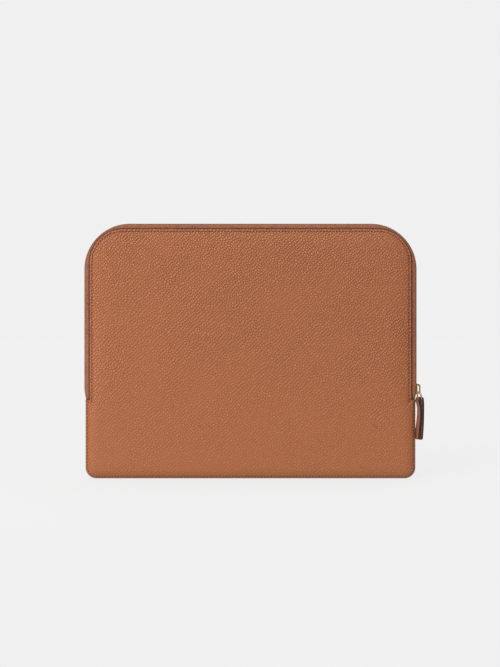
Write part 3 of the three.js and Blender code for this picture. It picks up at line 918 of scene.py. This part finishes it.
def link_wire():
    """An oblong ring of round wire, hung from the bail and leaning outwards."""
    top = np.array([LINK_LOW[0] + WIRE / 2, 0, LINK_HIGH[2] - WIRE / 2])
    bottom = np.array([LINK_HIGH[0] - WIRE / 2, 0, LINK_LOW[2] + WIRE / 2])
    centre, length = (top + bottom) / 2, np.linalg.norm(top - bottom)
    up = (top - bottom) / length
    reach = LINK_HIGH[1] - WIRE / 2 - LINK_CORNER
    rise = length / 2 - LINK_CORNER
    path = np.vstack([
        arc((sign_y * reach, sign_z * rise), LINK_CORNER, start, start + 90, 10)
        for sign_y, sign_z, start in ((1, 1, 0), (-1, 1, 90), (-1, -1, 180), (1, -1, 270))
    ])
    path = resampled(path, 72)
    ahead = np.roll(path, -1, 0) - np.roll(path, 1, 0)
    normal = np.column_stack([ahead[:, 1], -ahead[:, 0]])
    normal /= np.linalg.norm(normal, axis=1)[:, None]
    across = np.array([-math.sin(LINK_TWIST), math.cos(LINK_TWIST), 0])
    flat = np.cross(across, up)
    angles = np.linspace(0, 2 * math.pi, WIRE_SIDES, endpoint=False)
    outset, lift = np.cos(angles) * WIRE / 2, np.sin(angles) * WIRE / 2
    rings = []
    for (y, z), (ny, nz) in zip(path, normal):
        ring = centre + np.outer(y + ny * outset, across) + np.outer(z + nz * outset, up)
        rings.append(ring + np.outer(lift, flat))
    faces = tube_faces(len(path), WIRE_SIDES, True)
    return make_object("link_wire", np.vstack(rings), faces, [BRASS], None, 60)


def resampled(points, count):
    """A closed polyline with evenly spaced points."""
    loop = np.vstack([points, points[:1]])
    along = np.concatenate([[0], np.cumsum(np.linalg.norm(np.diff(loop, axis=0), axis=1))])
    at = np.linspace(0, along[-1], count, endpoint=False)
    return np.column_stack([np.interp(at, along, loop[:, k]) for k in range(2)])


def curve_through(points, count):
    """A smooth curve through a few (x, z) points, as evenly spaced places and how far along each is."""
    knots = np.array(points, float)
    padded = np.vstack([2 * knots[0] - knots[1], knots, 2 * knots[-1] - knots[-2]])
    fine = []
    for a, b, c, d in zip(padded, padded[1:], padded[2:], padded[3:]):
        for t in np.linspace(0, 1, 24, endpoint=False):
            fine.append(0.5 * (2 * b + (c - a) * t + (2 * a - 5 * b + 4 * c - d) * t ** 2
                               + (3 * b - a - 3 * c + d) * t ** 3))
    fine = np.vstack([fine, knots[-1:]])
    along = np.concatenate([[0], np.cumsum(np.linalg.norm(np.diff(fine, axis=0), axis=1))])
    at = np.linspace(0, along[-1], count)
    return np.column_stack([np.interp(at, along, fine[:, k]) for k in range(2)]), at


def bulge(share, least):
    """The half height of a round end, at a share of the way along its radius."""
    return np.sqrt(np.clip(1 - (1 - share) ** 2, least, 1))


def folded_pull():
    """A strap folded over the link, pinched just below it, with both ends hanging and parting."""
    bar_x, bar_z = (PULL_LOW[0] + PULL_HIGH[0]) / 2, LINK_LOW[2] + WIRE / 2
    half_wide = PULL_HIGH[1]
    loop = WIRE / 2 + STRAP_HALF + 0.1
    end = PULL_LOW[2] - 2.8
    centreline = [
        (bar_x + 0.5, end), (bar_x + 1.1, end + 8), (bar_x + 1.8, end + 18), (bar_x + 2.1, end + 28),
        (bar_x + 2.2, bar_z - 5), (bar_x + loop + 0.15, bar_z - 1.2),
        (bar_x + 0.75 * loop, bar_z + 0.75 * loop), (bar_x - 0.75 * loop, bar_z + 0.7 * loop),
        (bar_x - loop - 0.3, bar_z - 1.2), (bar_x - 1.25, bar_z - 4.6), (bar_x - 0.35, bar_z - 9),
        (bar_x - 0.4, end + 25), (bar_x - 1.2, end + 16), (bar_x - 2.1, end + 9), (bar_x - 2.6, end + 0.4),
    ]
    path, along = curve_through(centreline, 130)
    way = np.gradient(path, axis=0)
    way /= np.linalg.norm(way, axis=1)[:, None]
    normal = np.column_stack([way[:, 1], -way[:, 0]])
    reach = np.minimum(along, along[-1] - along)
    wide = half_wide * np.where(reach < STRAP_TIP, 0.35 + 0.65 * bulge(reach / STRAP_TIP, 0), 1)
    thick = STRAP_HALF * np.where(reach < STRAP_CUT, bulge(reach / STRAP_CUT, 0.05), 1)
    shoulder = 1 - STRAP_EASE / half_wide
    section = [
        (shoulder, 1), (1, 0.55), (1, -0.55), (shoulder, -1), (0.4, -1), (-0.4, -1),
        (-shoulder, -1), (-1, -0.55), (-1, 0.55), (-shoulder, 1), (-0.4, 1), (0.4, 1),
    ]
    turns = np.interp(path[:, 1], (end, bar_z), PULL_TWIST)
    rings = []
    for (x, z), (nx, nz), half_w, half_t, turn in zip(path, normal, wide, thick, turns):
        ring = []
        for across, out in section:
            aside, y = x + nx * out * half_t - bar_x, across * half_w
            ring.append((
                bar_x + aside * math.cos(turn) - y * math.sin(turn),
                aside * math.sin(turn) + y * math.cos(turn),
                z + nz * out * half_t,
            ))
        rings.append(ring)
    faces = tube_faces(len(rings), len(section))
    painted = (0, 1, 2, 6, 7, 8)
    slots = [1 if corner % len(section) in painted else 0 for corner in faces[:, 0]]
    faces = capped(faces, len(rings), len(section))
    leathers = [PULL_LEATHER, PULL_EDGE]
    return make_object("folded_pull", np.vstack(rings), faces, leathers, slots + [1, 1], 55)


body_piece, slider_parts = slider_body()
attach(body_piece, "slider")
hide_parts("zip_slider")
for part in slider_parts:
    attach(part, "slider")
for piece, body, node, slot_name in (
    (slider_bail(), "slider", "slider_crown", "brass"),
    (link_wire(), "link", "pull_link", "brass"),
    (folded_pull(), "pull", "leather_pull", "pull_leather"),
):
    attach(piece, body)
    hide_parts(node)


# ---------------------------------------------------------------- the stage, light and camera

PALE = 0.871                # the linear grey of the floor and the backdrop
FLOOR_ALBEDO = 0.1
FLOOR_GLOW = 0.742
DOME_DIM, DOME_BRIGHT = 0.16, 1.3
KEY_WAY = (-0.34, -0.8, 0.34)
REAR_WAY = (0.35, 0.85, 0.3)
LAMP_PLACE = (-0.6, -0.5, 0.2)
LAMP_AIM = (0, 0, 0.05)


def stage_floor():
    """A wide pale floor. Part of its brightness is its own glow, which keeps the shadow on it soft."""
    half = 40
    corners = [(-half, -half, 0), (half, -half, 0), (half, half, 0), (-half, half, 0)]
    mesh = bpy.data.meshes.new("floor")
    mesh.from_pydata(corners, [], [(0, 1, 2, 3)])
    n = Nodes(bpy.data.materials.new("pale_floor"))
    n.set(Base_Color=(*grey(FLOOR_ALBEDO), 1), Roughness=1.0, Specular_IOR_Level=0.0,
          Emission_Color=(1, 1, 1, 1), Emission_Strength=FLOOR_GLOW)
    mesh.materials.append(n.owner)
    obj = bpy.data.objects.new("floor", mesh)
    bpy.context.scene.collection.objects.link(obj)


def aimed(obj, place, target):
    """Puts a lamp or camera in the scene at a place, looking at a target."""
    obj.location = place
    obj.rotation_euler = (Vector(target) - Vector(place)).to_track_quat("-Z", "Y").to_euler()
    bpy.context.scene.collection.objects.link(obj)
    return obj


def dome():
    """The studio round the sleeve: bright overhead and dim round the sides, for contrast in the metal.

    What is seen past the floor is an even pale backdrop.
    """
    n = Nodes(bpy.data.worlds.new("studio"), "Background")
    way = n.add("ShaderNodeTexCoord").outputs["Generated"]
    height = n.add("ShaderNodeSeparateXYZ", {"Vector": way}).outputs["Z"]
    glow = n.add(
        "ShaderNodeMapRange",
        {"Value": height, "From Min": 0.1, "From Max": 0.75, "To Min": DOME_DIM, "To Max": DOME_BRIGHT},
        interpolation_type="SMOOTHSTEP",
    ).outputs["Result"]
    seen = n.add("ShaderNodeLightPath").outputs["Is Camera Ray"]
    n.set(Color=n.mix(seen, glow, (*grey(PALE), 1)), Strength=1.0)
    bpy.context.scene.world = n.owner


def sun(name, way, energy, angle, colour):
    """A soft sun that shines from a direction towards the sleeve."""
    light = bpy.data.lights.new(name, "SUN")
    light.energy = energy
    light.angle = math.radians(angle)
    light.color = colour
    aimed(bpy.data.objects.new(name, light), way, (0, 0, 0))


def studio():
    """The dome, a soft key from the upper left in front, a weaker one behind, and a lamp at the left."""
    dome()
    sun("key", KEY_WAY, 1.66, 22, (1, 0.985, 0.965))
    sun("rear", REAR_WAY, 0.8, 40, (1, 1, 1))
    lamp = bpy.data.lights.new("left", "AREA")
    lamp.shape = "DISK"
    lamp.size = 0.3
    lamp.energy = 0.6
    lamp.spread = math.radians(110)
    left = aimed(bpy.data.objects.new("left", lamp), LAMP_PLACE, LAMP_AIM)
    left.visible_camera = False
    bpy.context.scene.view_settings.view_transform = "Standard"


def camera():
    """Square on to the front, with the picture's middle a little above the sleeve's."""
    distance, aim_height, across, aside = 1.9, 0.1481, 0.512, -0.0005
    data = bpy.data.cameras.new("camera")
    data.sensor_fit = "HORIZONTAL"
    data.sensor_width = 36
    data.lens = 36 * distance / across
    aim_x = MID_X * MM + aside
    bpy.context.scene.camera = aimed(
        bpy.data.objects.new("camera", data), (aim_x, -distance, aim_height), (aim_x, 0, aim_height))


stage_floor()
studio()
camera()
